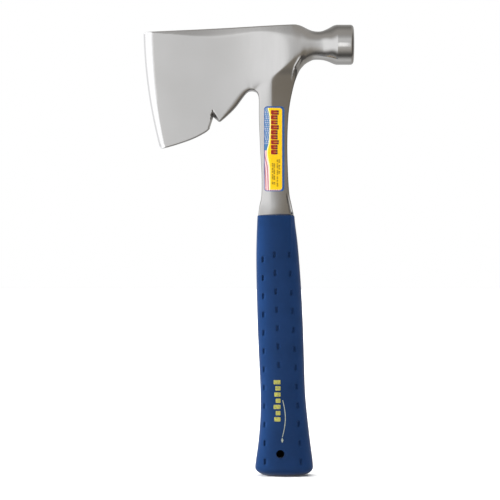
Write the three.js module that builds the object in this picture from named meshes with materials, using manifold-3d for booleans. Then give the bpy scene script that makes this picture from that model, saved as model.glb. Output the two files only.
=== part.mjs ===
// Carpenter's half hatchet: a one-piece steel forging with a moulded grip and a foil label on the shank.
// Millimetres. +Z runs up the handle from the butt, the cutting edge faces -X, the hammer poll faces +X,
// and the tool is symmetric about the plane Y = 0. The origin is the centre of the butt's flat bottom.
import * as THREE from "three";
import { mergeVertices } from "three/addons/utils/BufferGeometryUtils.js";
import Module from "manifold-3d";

const wasm = await Module();
wasm.setup();

// Overall
const FIT_GAP = 0.3; // clearance kept between neighbouring pieces
const HEAD_TOP_Z = 338;
const CUT_REACH = 30; // how far cutters run past the material

// Blade
const EDGE_X = -105.8; // foremost point of the cutting edge
const EDGE_RADIUS = 360;
const EDGE_CENTRE_Z = 338.8;
const EDGE_HALF = 0.2; // half thickness of the honed edge
const BEVEL_WIDTH = 5.8;
const BEVEL_HALF = 1.9; // half thickness where the ground bevel meets the cheek
const HEEL = { x: -91.8, z: 245 }; // lower end of the cutting edge
const TOE = { x: -104.6, z: 332.2 }; // upper end of the cutting edge
const TOP_LAND = 1.2; // half thickness left along the top edge
const UNDER_LAND = 2.2; // half thickness left along the underside of the head
const EDGE_SLOPE = 1.15; // how steeply the edge chamfers rise to the cheek

// Half thickness of the cheek at a distance behind the cutting edge
const CHEEK = [
  { behind: 0, half: EDGE_HALF },
  { behind: BEVEL_WIDTH, half: BEVEL_HALF },
  { behind: 42, half: 4 },
  { behind: 62, half: 5.2 },
  { behind: 78, half: 6.9 },
  { behind: 90, half: 8.9 },
  { behind: 98, half: 10.4 },
  { behind: 104, half: 11 },
  { behind: 118, half: 10.4 },
  { behind: 150, half: 10.4 },
];

// Nail notch in the blade's lower edge
const NOTCH_MOUTH = { left: { x: -56.2, z: 258.6 }, right: { x: -48.6, z: 264.4 } };
const NOTCH_APEX = { x: -53.4, z: 269.5 };
const NOTCH_LAND = 1;

// Neck and poll
const POLL_Z = 322.8;
const POLL_RADIUS = 15.2;
const POLL_FACE_X = 51.75;
const POLL_BACK_X = 38.7;
const POLL_ROUND = 2.3;
const NECK_SECTIONS = [
  { x: -4, top: 334, bottom: 304, half: 8.5 },
  { x: 4, top: 337.6, bottom: 300.5, half: 10.2 },
  { x: 11, top: 337.4, bottom: 303.4, half: 10.4 },
  { x: 17, top: 334.6, bottom: 309, half: 10.2 },
  { x: 23, top: 332.8, bottom: 311.4, half: 10.1 },
  { x: 29, top: 333.2, bottom: 311.2, half: 10.7 },
  { x: 34, top: 335.4, bottom: 309.6, half: 12.6 },
  { x: POLL_BACK_X, top: POLL_Z + POLL_RADIUS, bottom: POLL_Z - POLL_RADIUS, half: POLL_RADIUS },
];
const NECK_SQUARENESS = 2.5;

// Shank and tang: left and right edges, half thickness at the edges and the ridge, and how far the
// section has turned from a ridged plate (0) into an I-beam (1)
const RIDGE_X = -9.3;
const FLANGE_WIDTH = 3.2;
const WEB_HALF = 2.9;
const SHANK_SECTIONS = [
  { z: 12, left: -13.5, right: 7.5, edge: 5.2, ridge: WEB_HALF, beam: 1 },
  { z: 60, left: -12.5, right: 8.4, edge: 5.2, ridge: WEB_HALF, beam: 1 },
  { z: 130, left: -15.6, right: 8, edge: 5, ridge: WEB_HALF, beam: 1 },
  { z: 186, left: -17.6, right: 5, edge: 4, ridge: 3.6, beam: 1 },
  { z: 196, left: -19.4, right: 6.9, edge: 3.2, ridge: 5, beam: 0.5 },
  { z: 212, left: -17.2, right: 3.5, edge: 3, ridge: 6, beam: 0 },
  { z: 226, left: -17.1, right: 2.7, edge: 2.8, ridge: 6, beam: 0 },
  { z: 248, left: -18.2, right: 2.2, edge: 2.8, ridge: 6.2, beam: 0 },
  { z: 266, left: -19, right: 2.8, edge: 2.8, ridge: 6.5, beam: 0 },
  { z: 280, left: -19.1, right: 4.3, edge: 2.8, ridge: 6.9, beam: 0 },
  { z: 291, left: -19.3, right: 6.7, edge: 3, ridge: 7.3, beam: 0 },
  { z: 303, left: -17, right: 11, edge: 3.4, ridge: 7.4, beam: 0 },
];
const TANG_END_Z = SHANK_SECTIONS[0].z;

// Grip
const GRIP_TOP_Z = 194.9;
const GRIP_SQUARENESS = 2.8;
const GRIP_SECTIONS = [
  { z: 0, left: -15.6, right: 15.6, half: 9.4 },
  { z: 1.4, left: -19, right: 18.9, half: 12.8 },
  { z: 4.2, left: -21.9, right: 21.2, half: 14.9 },
  { z: 10, left: -21.6, right: 21.5, half: 15 },
  { z: 28, left: -19.2, right: 19.1, half: 14 },
  { z: 43, left: -18.1, right: 17.4, half: 13.4 },
  { z: 59, left: -17.9, right: 15.8, half: 13 },
  { z: 77, left: -18.5, right: 15, half: 12.8 },
  { z: 97, left: -19.4, right: 14.5, half: 12.8 },
  { z: 122, left: -20.4, right: 13.5, half: 12.9 },
  { z: 145, left: -20.9, right: 12.3, half: 12.7 },
  { z: 165, left: -21.1, right: 10.7, half: 12.1 },
  { z: 188, left: -20.6, right: 8.2, half: 10.4 },
  { z: 193.6, left: -20.9, right: 8.1, half: 9.7 },
  { z: GRIP_TOP_Z, left: -20.6, right: 7.9, half: 9.1 },
];
const PIN_HOLE = { x: -3.3, z: 16.3, radius: 3 };

// Rows of small upright recesses in both faces of the grip
const RECESS = { width: 2, height: 4.6, depth: 0.9 };
const RECESS_COLUMNS = [
  { low: { x: -14.3, z: 11.4 }, high: { x: -16, z: 161.8 }, rows: 12 },
  { low: { x: -4.2, z: 83.4 }, high: { x: -7.5, z: 165.4 }, rows: 7 },
  { low: { x: 11.8, z: 11.4 }, high: { x: 3.2, z: 165.2 }, rows: 12 },
];

// Foil label on the shank
const LABEL = { left: -15.3, right: -0.1, bottom: 212.8, top: 276.2, corner: 2.4, thickness: 0.3 };
const LABEL_GAP = 0.15;

const POLISHED_STEEL = { color: 0xb9b8b6, roughness: 0.28, metalness: 1 };
const BLUE_VINYL = { color: 0x264775, roughness: 0.55, metalness: 0 };
const LABEL_FOIL = { color: 0xf3d33a, roughness: 0.4, metalness: 0 };

// --- Shape helpers ---------------------------------------------------------------------------

const toSolid = (geometry) => {
  geometry.deleteAttribute("normal");
  geometry.deleteAttribute("uv");
  const merged = mergeVertices(geometry, 1e-4);
  return new wasm.Manifold(
    new wasm.Mesh({
      numProp: 3,
      vertProperties: merged.attributes.position.array,
      triVerts: new Uint32Array(merged.index.array),
    }),
  );
};

const toGeometry = (solid) => {
  const mesh = solid.getMesh();
  const geometry = new THREE.BufferGeometry();
  geometry.setAttribute("position", new THREE.BufferAttribute(mesh.vertProperties, 3));
  geometry.setIndex(new THREE.BufferAttribute(mesh.triVerts, 1));
  geometry.computeVertexNormals();
  return geometry;
};

// A closed body through flat sections that all have the same number of points, listed counter-clockwise.
// place(point, at) puts a section's point in space.
function loft(sections, place) {
  const count = sections[0].points.length;
  const corners = sections.flatMap(({ points, at }) => points.map((point) => place(point, at)));
  const faces = [];
  for (let s = 0; s + 1 < sections.length; s++) {
    for (let i = 0; i < count; i++) {
      const a = s * count + i;
      const b = s * count + ((i + 1) % count);
      faces.push(a, b, b + count, a, b + count, a + count);
    }
  }
  const start = THREE.ShapeUtils.triangulateShape(sections[0].points, []);
  const end = THREE.ShapeUtils.triangulateShape(sections.at(-1).points, []);
  const last = (sections.length - 1) * count;
  start.forEach(([a, b, c]) => faces.push(a, c, b));
  end.forEach(([a, b, c]) => faces.push(last + a, last + b, last + c));
  const geometry = new THREE.BufferGeometry().setFromPoints(corners);
  geometry.setIndex(faces);
  return toSolid(geometry);
}

const alongX = (point, at) => new THREE.Vector3(at, point.x, point.y);
const alongY = (point, at) => new THREE.Vector3(point.x, -at, point.y);
const alongZ = (point, at) => new THREE.Vector3(point.x, point.y, at);

// The outline moved outwards by a distance, with its corners kept sharp.
function grown(points, distance) {
  return points.map((point, i) => {
    const before = points.at(i - 1);
    const after = points[(i + 1) % points.length];
    const along = point.clone().sub(before).normalize();
    const next = after.clone().sub(point).normalize();
    const normal = new THREE.Vector2(along.y, -along.x);
    const nextNormal = new THREE.Vector2(next.y, -next.x);
    const corner = normal.clone().add(nextNormal).normalize();
    return point.clone().addScaledVector(corner, distance / Math.max(corner.dot(normal), 0.4));
  });
}

// A cutter that keeps a land at the middle of the plate and flares outwards to a chamfer on both faces.
function flaredCutter(points, land) {
  const outer = grown(points, (CUT_REACH - land) / EDGE_SLOPE);
  return loft(
    [
      { points: outer, at: -CUT_REACH },
      { points, at: -land },
      { points, at: land },
      { points: outer, at: CUT_REACH },
    ],
    alongY,
  );
}

// A closed curve |x/a|^n + |y/b|^n = 1 about a centre, counter-clockwise.
function superEllipse(centre, a, b, power, count) {
  return Array.from({ length: count }, (_, i) => {
    const angle = (2 * Math.PI * i) / count;
    const bend = (value) => Math.sign(value) * Math.abs(value) ** (2 / power);
    return new THREE.Vector2(
      centre.x + a * bend(Math.cos(angle)),
      centre.y + b * bend(Math.sin(angle)),
    );
  });
}

const blend = (from, to, share) => from + (to - from) * share;

// Every number of a list of sections, read off between the two sections on either side of z.
function sectionAt(sections, z) {
  const upper = Math.max(sections.findIndex((section) => section.z >= z), 1);
  const [a, b] = [sections[upper - 1], sections[upper]];
  const share = (z - a.z) / (b.z - a.z);
  return Object.fromEntries(Object.keys(a).map((key) => [key, blend(a[key], b[key], share)]));
}

// --- Forging ---------------------------------------------------------------------------------

const topEdgeZ = (x) => blend(TOE.z, HEAD_TOP_Z, (x - TOE.x) / (4 - TOE.x));

// The side outline of blade and head, before the edge arc, notch and chamfers are cut.
function headOutline() {
  const outline = new THREE.Shape();
  const nose = EDGE_X - 10;
  outline.moveTo(8, HEAD_TOP_Z);
  outline.lineTo(nose, topEdgeZ(nose));
  outline.lineTo(nose, HEEL.z - 4);
  outline.lineTo(HEEL.x, HEEL.z);
  outline.quadraticCurveTo(-70, 250.6, -56, 259.4);
  outline.lineTo(-48.3, 265.1);
  outline.bezierCurveTo(-37, 272.5, -33, 288, -24.3, 288);
  outline.quadraticCurveTo(-20.4, 288, -19.4, 283.5);
  outline.lineTo(8, 298);
  return outline;
}

// Everything under the head whose upper edge chamfers the bay, the shank root and the poll's underside.
function underCut() {
  const under = new THREE.Shape();
  under.moveTo(-48.3, 265.1);
  under.lineTo(-48.3, 200);
  under.lineTo(30, 200);
  under.lineTo(30, 304);
  under.lineTo(8, 297.4);
  under.lineTo(-19.4, 283.5);
  under.quadraticCurveTo(-20.4, 288, -24.3, 288);
  under.bezierCurveTo(-33, 288, -37, 272.5, -48.3, 265.1);
  return flaredCutter(under.getPoints(5).slice(0, -1), UNDER_LAND);
}

function topCut() {
  const high = HEAD_TOP_Z + 40;
  const [left, right] = [EDGE_X - 20, 12];
  return flaredCutter(
    [
      new THREE.Vector2(left, topEdgeZ(left)),
      new THREE.Vector2(right, topEdgeZ(right)),
      new THREE.Vector2(right, high),
      new THREE.Vector2(left, high),
    ],
    TOP_LAND,
  );
}

function notchCut() {
  const { left, right } = NOTCH_MOUTH;
  const past = 8; // the cutter's mouth, below the blade's edge
  return flaredCutter(
    [
      new THREE.Vector2(left.x - 0.7, left.z - past),
      new THREE.Vector2(right.x + 4, right.z - past),
      new THREE.Vector2(right.x, right.z),
      new THREE.Vector2(NOTCH_APEX.x, NOTCH_APEX.z),
      new THREE.Vector2(left.x, left.z),
    ],
    NOTCH_LAND,
  );
}

// A disc about the centre of the cutting edge's arc: its rim is the edge and bevel, its faces the cheeks.
function cheekWedge() {
  const side = CHEEK.map(({ behind, half }) => new THREE.Vector2(EDGE_RADIUS - behind, half));
  const inner = new THREE.Vector2(0, CHEEK.at(-1).half);
  const upper = [inner, ...side.toReversed()];
  const lower = upper.toReversed().map(({ x, y }) => new THREE.Vector2(x, -y));
  const disc = new THREE.LatheGeometry([...upper, ...lower].toReversed(), 180);
  disc.translate(EDGE_X + EDGE_RADIUS, 0, EDGE_CENTRE_Z);
  return toSolid(disc);
}

function bladeAndHead() {
  const blank = new THREE.ExtrudeGeometry(headOutline(), {
    depth: 2 * CUT_REACH,
    bevelEnabled: false,
    curveSegments: 6,
  });
  blank.translate(0, 0, -CUT_REACH);
  blank.rotateX(Math.PI / 2);
  return toSolid(blank)
    .intersect(cheekWedge())
    .subtract(topCut())
    .subtract(underCut())
    .subtract(notchCut());
}

function neck() {
  const sections = NECK_SECTIONS.map(({ x, top, bottom, half }) => ({
    at: x,
    points: superEllipse(
      new THREE.Vector2(0, (top + bottom) / 2),
      half,
      (top - bottom) / 2,
      x === POLL_BACK_X ? 2 : NECK_SQUARENESS,
      28,
    ),
  }));
  return loft(sections, alongX);
}

function poll() {
  const profile = [
    new THREE.Vector2(0, POLL_BACK_X - 2),
    new THREE.Vector2(POLL_RADIUS - 1.6, POLL_BACK_X - 2),
    new THREE.Vector2(POLL_RADIUS, POLL_BACK_X),
  ];
  for (let step = 0; step <= 4; step++) {
    const angle = (step / 4) * (Math.PI / 2);
    profile.push(
      new THREE.Vector2(
        POLL_RADIUS - POLL_ROUND * (1 - Math.cos(angle)),
        POLL_FACE_X - POLL_ROUND * (1 - Math.sin(angle)),
      ),
    );
  }
  profile.push(new THREE.Vector2(0, POLL_FACE_X));
  const turned = new THREE.LatheGeometry(profile, 48);
  turned.rotateZ(-Math.PI / 2);
  turned.translate(0, 0, POLL_Z);
  return toSolid(turned);
}

// Half thickness of the shank's face at x, for a section that is part ridged plate and part I-beam.
function shankHalf(section, x) {
  const { left, right, edge, ridge, beam } = section;
  const reach = x < RIDGE_X ? (RIDGE_X - x) / (RIDGE_X - left) : (x - RIDGE_X) / (right - RIDGE_X);
  const ridged = blend(ridge, edge, reach);
  const inFlange = x < left + FLANGE_WIDTH || x > right - FLANGE_WIDTH;
  return blend(ridged, inFlange ? edge : WEB_HALF, beam);
}

function shankPoints(z) {
  const section = sectionAt(SHANK_SECTIONS, z);
  const { left, right } = section;
  const step = 0.8; // run of the slope between flange and web
  const stations = [
    left,
    left + FLANGE_WIDTH - 0.01,
    left + FLANGE_WIDTH + step,
    RIDGE_X,
    right - FLANGE_WIDTH - step,
    right - FLANGE_WIDTH + 0.01,
    right,
  ];
  const front = stations.map((x) => new THREE.Vector2(x, -shankHalf(section, x)));
  const back = front.toReversed().map(({ x, y }) => new THREE.Vector2(x, -y));
  return [...front, ...back];
}

function shankAndTang() {
  return loft(
    SHANK_SECTIONS.map(({ z }) => ({ at: z, points: shankPoints(z) })),
    alongZ,
  );
}

const forging = () => bladeAndHead().add(neck()).add(poll()).add(shankAndTang());

// --- Grip ------------------------------------------------------------------------------------

const gripPoints = ({ left, right, half }) =>
  superEllipse(
    new THREE.Vector2((left + right) / 2, 0),
    (right - left) / 2,
    half,
    GRIP_SQUARENESS,
    36,
  );

// Half thickness of the grip's face at a point of its side view.
function gripHalf(x, z) {
  const { left, right, half } = sectionAt(GRIP_SECTIONS, z);
  const across = Math.abs((2 * x - left - right) / (right - left));
  return half * (1 - across ** GRIP_SQUARENESS) ** (1 / GRIP_SQUARENESS);
}

function gripBody() {
  return loft(
    GRIP_SECTIONS.map((section) => ({ at: section.z, points: gripPoints(section) })),
    alongZ,
  );
}

// The room that the tang takes, open at the grip's top.
function tangCavity() {
  const levels = [
    TANG_END_Z - FIT_GAP,
    ...SHANK_SECTIONS.map(({ z }) => z).filter((z) => z > TANG_END_Z && z < 200),
    205,
  ];
  return loft(
    levels.map((z) => ({ at: z, points: grown(shankPoints(Math.max(z, TANG_END_Z)), FIT_GAP) })),
    alongZ,
  );
}

function pinHole() {
  const hole = new THREE.CylinderGeometry(PIN_HOLE.radius, PIN_HOLE.radius, 2 * CUT_REACH, 28);
  hole.translate(PIN_HOLE.x, 0, PIN_HOLE.z);
  return toSolid(hole);
}

function recesses() {
  const cuts = [];
  for (const { low, high, rows } of RECESS_COLUMNS) {
    for (let row = 0; row < rows; row++) {
      const x = blend(low.x, high.x, row / (rows - 1));
      const z = blend(low.z, high.z, row / (rows - 1));
      for (const side of [-1, 1]) {
        const box = new THREE.BoxGeometry(RECESS.width, 4, RECESS.height);
        box.translate(x, side * (gripHalf(x, z) - RECESS.depth + 2), z);
        cuts.push(toSolid(box));
      }
    }
  }
  return cuts.reduce((all, cut) => all.add(cut));
}

const grip = () => gripBody().subtract(tangCavity()).subtract(pinHole()).subtract(recesses());

// --- Label -----------------------------------------------------------------------------------

// The label's section at a height: it is folded over the shank's ridge, narrower at its rounded corners.
function labelPoints(z) {
  const section = sectionAt(SHANK_SECTIONS, z);
  const toEnd = Math.min(z - LABEL.bottom, LABEL.top - z, LABEL.corner);
  const inset = LABEL.corner - Math.sqrt(LABEL.corner ** 2 - (LABEL.corner - toEnd) ** 2);
  const stations = [LABEL.right - inset, RIDGE_X, LABEL.left + inset];
  const under = stations.map(
    (x) => new THREE.Vector2(x, -shankHalf(section, x) - LABEL_GAP),
  );
  const over = under.toReversed().map(({ x, y }) => new THREE.Vector2(x, y - LABEL.thickness));
  return [...under, ...over];
}

function label() {
  const corner = [0, 0.5, 1, 1.7, LABEL.corner];
  const levels = [
    ...corner.map((rise) => LABEL.bottom + rise),
    226,
    248,
    266,
    ...corner.toReversed().map((rise) => LABEL.top - rise),
  ];
  return loft(
    levels.map((z) => ({ at: z, points: labelPoints(z) })),
    alongZ,
  );
}

// --- The tool --------------------------------------------------------------------------------

function piece(name, solid, finish) {
  const mesh = new THREE.Mesh(toGeometry(solid), new THREE.MeshStandardMaterial(finish));
  mesh.name = name;
  return mesh;
}

const hatchet = new THREE.Group();
hatchet.add(
  piece("forged_head_and_shank", forging(), POLISHED_STEEL),
  piece("grip_sleeve", grip(), BLUE_VINYL),
  piece("shank_label", label(), LABEL_FOIL),
);

export default hatchet;
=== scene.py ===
"""Half hatchet: a finely shaped forging, moulded grip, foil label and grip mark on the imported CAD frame.

Outlines are in millimetres and become metres when a mesh is made. +Z runs up the handle, -X faces the
cutting edge, +X the hammer poll, and the tool is symmetric about the plane Y = 0. Its shown face is -Y.
"""

import math

import bpy
import numpy as np
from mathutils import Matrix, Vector
from mathutils.geometry import delaunay_2d_cdt


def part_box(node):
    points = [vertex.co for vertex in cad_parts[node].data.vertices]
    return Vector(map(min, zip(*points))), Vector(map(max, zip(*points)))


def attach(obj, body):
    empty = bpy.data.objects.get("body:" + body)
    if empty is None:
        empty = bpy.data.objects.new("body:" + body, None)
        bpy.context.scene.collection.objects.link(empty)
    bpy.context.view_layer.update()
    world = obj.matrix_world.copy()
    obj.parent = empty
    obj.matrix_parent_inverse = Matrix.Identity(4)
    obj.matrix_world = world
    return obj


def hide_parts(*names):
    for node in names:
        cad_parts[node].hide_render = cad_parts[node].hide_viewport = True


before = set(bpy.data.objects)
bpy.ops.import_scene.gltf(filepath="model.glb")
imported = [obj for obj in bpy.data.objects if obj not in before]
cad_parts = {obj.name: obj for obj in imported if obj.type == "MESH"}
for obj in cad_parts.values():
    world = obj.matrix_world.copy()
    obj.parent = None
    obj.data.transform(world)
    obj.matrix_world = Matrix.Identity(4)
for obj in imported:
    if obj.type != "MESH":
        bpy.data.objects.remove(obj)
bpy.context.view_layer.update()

MM = 0.001
SHARP_ANGLE = math.radians(50)
FORGING = "forged_head_and_shank"
GRIP = "grip_sleeve"
LABEL = "shank_label"
forging_low, forging_high = (np.array(corner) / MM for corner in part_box(FORGING))
grip_high = np.array(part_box(GRIP)[1]) / MM
label_low, label_high = (np.array(corner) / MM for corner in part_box(LABEL))

# Forging, from the frame
EDGE_X = forging_low[0]
FACE_X = forging_high[0]
HEAD_TOP = forging_high[2]
TANG_END = forging_low[2]
POLL_Z = HEAD_TOP - forging_high[1]
POLL_RADIUS = forging_high[1] - 0.25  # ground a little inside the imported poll
SHOULDER_TOP = HEAD_TOP - 0.5  # and so is the shoulder
SHOULDER_X = 8  # where the head's straight top ends
GRIP_TOP = grip_high[2]

# Cutting edge
EDGE_RADIUS = 360.0
EDGE_CENTRE_Z = 338.8
EDGE_HALF = 0.12
HONE_WIDTH = 1.5
HONE_HALF = 1.3  # half thickness where the honed edge meets the ground bevel
BEVEL_HALF = 2.2
BEVEL_WIDTH = [(245, 4.2), (280, 5.5), (315, 6.5), (340, 6.5)]  # (height, width)
TOE = (-104.4, 332.3)

# Half thickness of the cheek at a distance behind the cutting edge
CHEEK = [
    (0, 1.9),
    (6.5, 2.25),
    (42, 4.0),
    (62, 5.15),
    (78, 6.5),
    (90, 8.0),
    (98, 9.2),
    (102, 9.9),
    (105, 10.37),
    (108, 10.72),
    (112.5, 10.95),
    (117, 10.85),
    (124, 10.6),
]

# Facet along the top: (x, width, how soft its lower boundary is) and its slope
TOP_FACET = [
    (-104, 0.3, 0.1),
    (-93, 1.9, 0.25),
    (-78, 3.9, 0.5),
    (-63, 5.8, 0.9),
    (-33, 5.4, 0.8),
    (-11, 5.3, 0.8),
    (0, 8.2, 2.4),
    (12, 11, 4),
]
TOP_FACET_SLOPE = 0.36

# Rounded edges: rows of (x, z, width and depth of the rounding)
TOP_EDGE = [(-103.5, 332.35, 0.5, 0.5), (SHOULDER_X, SHOULDER_TOP, 0.9, 1.1)]
FOOT = [
    (-92.6, 245.3, 0.8, 0.8),
    (-91.2, 245.0, 0.8, 0.8),
    (-81.3, 247.7, 0.9, 0.9),
    (-69.3, 251.9, 0.9, 0.9),
    (-60.3, 256.4, 0.9, 0.9),
    (-56.1, 259.5, 0.9, 0.9),
]
BAY = [
    (-48.9, 264.9, 0.8, 0.8),
    (-48.0, 265.2, 1.0, 1.0),
    (-42.3, 270.0, 2.8, 1.9),
    (-36.3, 276.1, 4.2, 2.4),
    (-30.3, 284.2, 4.0, 2.4),
    (-27.3, 287.3, 3.2, 2.2),
    (-24.3, 288.1, 2.0, 1.9),
    (-21.3, 287.4, 1.0, 1.0),
    (-19.8, 285.5, 0.8, 0.8),
    (-19.1, 281.4, 0.7, 0.7),
    (-19.05, 268.0, 0.7, 0.7),
    (-18.2, 246.0, 0.7, 0.7),
    (-17.1, 226.0, 0.8, 0.8),
    (-17.2, 210.0, 0.8, 0.8),
    (-18.7, 202.0, 0.8, 0.8),
    (-19.6, 195.5, 0.8, 0.8),
]
BACK_EDGE = [
    (6.9, 195.5, 0.5, 0.5),
    (5.2, 203.4, 0.5, 0.5),
    (3.7, 211.0, 0.45, 0.5),
    (2.7, 226.0, 0.4, 0.4),
    (2.2, 248.0, 0.4, 0.4),
    (2.9, 267.9, 0.4, 0.4),
    (4.5, 280.5, 0.4, 0.4),
    (7.2, 292.7, 0.5, 0.35),
    (9.5, 299.4, 1.8, 0.9),
    (11.7, 303.9, 4.2, 4.5),
    (14.7, 307.4, 4.9, 5.6),
    (17.7, 309.6, 5.3, 6.0),
    (20.7, 311.1, 5.5, 6.0),
]
# How sharply the rounding of the back edge starts, as a share of its turn, by height
BACK_LEAN = [(285, 0), (299, 0.1), (306, 0.35)]
TANG_LEFT = [(-19.6, 195.5), (-17.6, 186), (-15.6, 130), (-12.5, 60), (-13.5, TANG_END)]
TANG_RIGHT = [(7.5, TANG_END), (8.4, 60), (8, 130), (5, 186), (6.9, 195.5)]

# Shank by height: half thickness along its ridge, the slopes of the two facets beside the ridge, and how
# much the right facet curves away. The ridge line climbs past the head's thickness, where the head begins.
RIDGE_X = -9.8
RIDGE_HALF = [
    (TANG_END, 2.9),
    (150, 2.9),
    (188, 4.3),
    (195.5, 4.95),
    (200.5, 5.7),
    (206, 5.9),
    (226, 6.1),
    (266, 6.75),
    (280, 7.15),
    (287, 7.5),
    (292, 7.95),
    (297.9, 9.1),
    (303.9, 12.2),
    (309.2, 14.7),
    (314.4, 16.6),
    (340, 24),
]
LEFT_SLOPE = [(150, 0.05), (196, 0.03), (200, 0.05), (204.5, 0.19), (212, 0.22), (300, 0.22)]
LEFT_ROUND = [(150, 3), (204, 3), (230, 5), (300, 6)]  # reach over which the left facet flattens to the ridge
RIGHT_SLOPE = [
    (150, 0.05),
    (196, 0.09),
    (206, 0.09),
    (225, 0.16),
    (245, 0.22),
    (275, 0.25),
    (300, 0.28),
    (330, 0.28),
]
RIGHT_CURVE = [(150, 0), (196, 0.006), (206, 0.006), (225, 0.003), (275, 0.001), (300, 0)]
RIDGE_SOFT = [(196, 1.2), (212, 0.6), (235, 0.3), (330, 0.3)]
# Fillet where cheek and shank cross, by distance to the right of the ridge
CHEEK_FILLET = [(-30, 0.8), (-6, 0.8), (0, 0.5), (10, 0.4), (18, 0.8)]

# Root of the blade: the line along which the shank's left facet starts to climb to the cheek, and how fast
ROOT_LINE = [(-24.3, 286.3), (-21.3, 289.6), (-18.3, 292.3), (-14, 294.3), (-9.8, 296)]
ROOT_SLOPE = [(-30, 0.6), (-24, 0.36), (-18, 0.26), (-12, 0.12)]
BLADE_X = -26.3  # left of this only the blade's own thickness counts
BLADE_RISE = 1.5

# Low rim along the shank's back edge where it enters the grip: (height, depth below the facet)
RIM_DEPTH = [(150, 0.9), (199, 0.8), (204, 0.6), (212, 0)]
RIM_WIDTH = (1.5, 2.2)  # where its flat ends and where the facet starts
RIM_TILT = 0.75  # how much the rim rises outwards, as a share of its depth

# Forging seam, a low bead from the shank's back up into the neck: (x, z, height, and the share of that
# height which the surface to its right keeps)
SEAM = [
    (6.3, 295.0, 0, 1),
    (6.4, 298.0, 0.4, 1),
    (6.8, 301.0, 0.65, 1),
    (7.5, 303.6, 0.75, 0.8),
    (8.5, 306.4, 0.8, 0.3),
    (9.9, 308.8, 0.8, 0),
    (11.1, 311, 0.7, 0),
    (11.7, 312.3, 0.4, 0),
    (12.1, 313.4, 0, 0),
]
SEAM_WIDTH = 0.95

# Nail notch: the V right through, and the wider V where its bevelled walls meet the cheek
NOTCH_THROUGH = [(-56.1, 259.9), (-53.3, 268.5), (-49.4, 265.2)]
NOTCH_FACE = [(-57.2, 259.4), (-53.5, 273.9), (-48.6, 265.2)]
NOTCH_LAND = 0.7
NOTCH_MIDDLE, NOTCH_REACH, NOTCH_ABOVE = -53, 9, 280  # the notch's walls are only looked for near it

# Neck and poll: (x, top, bottom, half thickness, squareness)
NECK = [
    (2, SHOULDER_TOP, 299.5, 10.95, 2.2),
    (7, SHOULDER_TOP, 301.3, 10.97, 2.2),
    (11.7, 336.9, 303.9, 10.8, 2.1),
    (14.7, 335.8, 307.4, 10.52, 2.05),
    (17.7, 334.4, 309.6, 10.34, 2),
    (20.7, 333.3, 311.1, 10.16, 2),
    (25, 332.7, 311.6, 10.1, 2),
    (28, 333.0, 311.4, 10.3, 2),
    (31, 334.1, 310.8, 10.85, 2),
    (34, 335.6, 309.7, 12.15, 2),
    (36.5, POLL_Z + 14.2, POLL_Z - 14.2, 13.6, 2),
    (38.2, POLL_Z + 14.75, POLL_Z - 14.75, 14.5, 2),
    (39.3, POLL_Z + POLL_RADIUS, POLL_Z - POLL_RADIUS, POLL_RADIUS, 2),
]
POLL_ROUND = 2.3

# Where the head's flat faces give way to the round neck: (height, x, how gradually)
NECK_START = [(290, 12, 3), (308, 12, 3), (311.5, 11.6, 2.2), (314, 11.2, 2.4), (319, 11, 8), (338, 9, 9)]

# Mesh fineness
STEP = 0.8
TANG_STEP = 2.6
RINGS = [0.03, 0.12, 0.3, 0.55, 0.9, 1.4, 2.0]  # insets of the rows of points that follow the outline
RING_KEPT = 0.93  # a ring's point stays if it is this share of its inset away from the outline
LINE_CLEARANCE = 0.45  # how far the grid's points stay away from rings and creases
GRID_ROW = 0.866  # height of a staggered grid's rows, in steps
LEAST_HALF = 0.04
BEVEL_BLEND = (-0.25, 0.05)  # across the bevel's upper line, where its brighter polish ends


# --- Curves ------------------------------------------------------------------------------------


def smooth_through(rows, step=STEP):
    """Rows on a smooth curve through the given rows, about step apart in their first two numbers."""
    rows = np.array(rows, float)
    padded = np.vstack([2 * rows[0] - rows[1], rows, 2 * rows[-1] - rows[-2]])
    parts = []
    for a, b, c, d in zip(padded, padded[1:], padded[2:], padded[3:]):
        count = max(1, round(np.linalg.norm((c - b)[:2]) / step))
        t = np.arange(count)[:, None] / count
        cubic = (-a + 3 * b - 3 * c + d) * t**3
        parts.append(0.5 * (2 * b + (c - a) * t + (2 * a - 5 * b + 4 * c - d) * t**2 + cubic))
    return np.vstack([*parts, rows[-1:]])


def straight(start, end, step=STEP):
    """Points about step apart on a straight line."""
    start, end = np.array(start, float), np.array(end, float)
    count = max(1, round(np.linalg.norm(end - start) / step))
    return start + (end - start) * np.arange(count + 1)[:, None] / count


def along(place, stations):
    """The value of a natural cubic spline through (place, value) stations, held flat beyond both ends."""
    places, values = np.array(stations, float).T
    width = np.diff(places)
    rise = np.diff(values) / width
    inner = np.diag(2 * (width[:-1] + width[1:])) + np.diag(width[1:-1], 1) + np.diag(width[1:-1], -1)
    bend = np.zeros(len(places))
    if len(width) > 1:
        bend[1:-1] = np.linalg.solve(inner, 6 * np.diff(rise))
    place = np.clip(place, places[0], places[-1])
    i = np.clip(np.searchsorted(places, place, side="right") - 1, 0, len(width) - 1)
    t, w = place - places[i], width[i]
    slope = rise[i] - w * (2 * bend[i] + bend[i + 1]) / 6
    return values[i] + t * (slope + t * (bend[i] / 2 + t * (bend[i + 1] - bend[i]) / (6 * w)))


def ramp(value, low, high):
    """0 below low, 1 above high, smooth between."""
    t = np.clip((value - low) / (high - low), 0, 1)
    return t * t * (3 - 2 * t)


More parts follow.
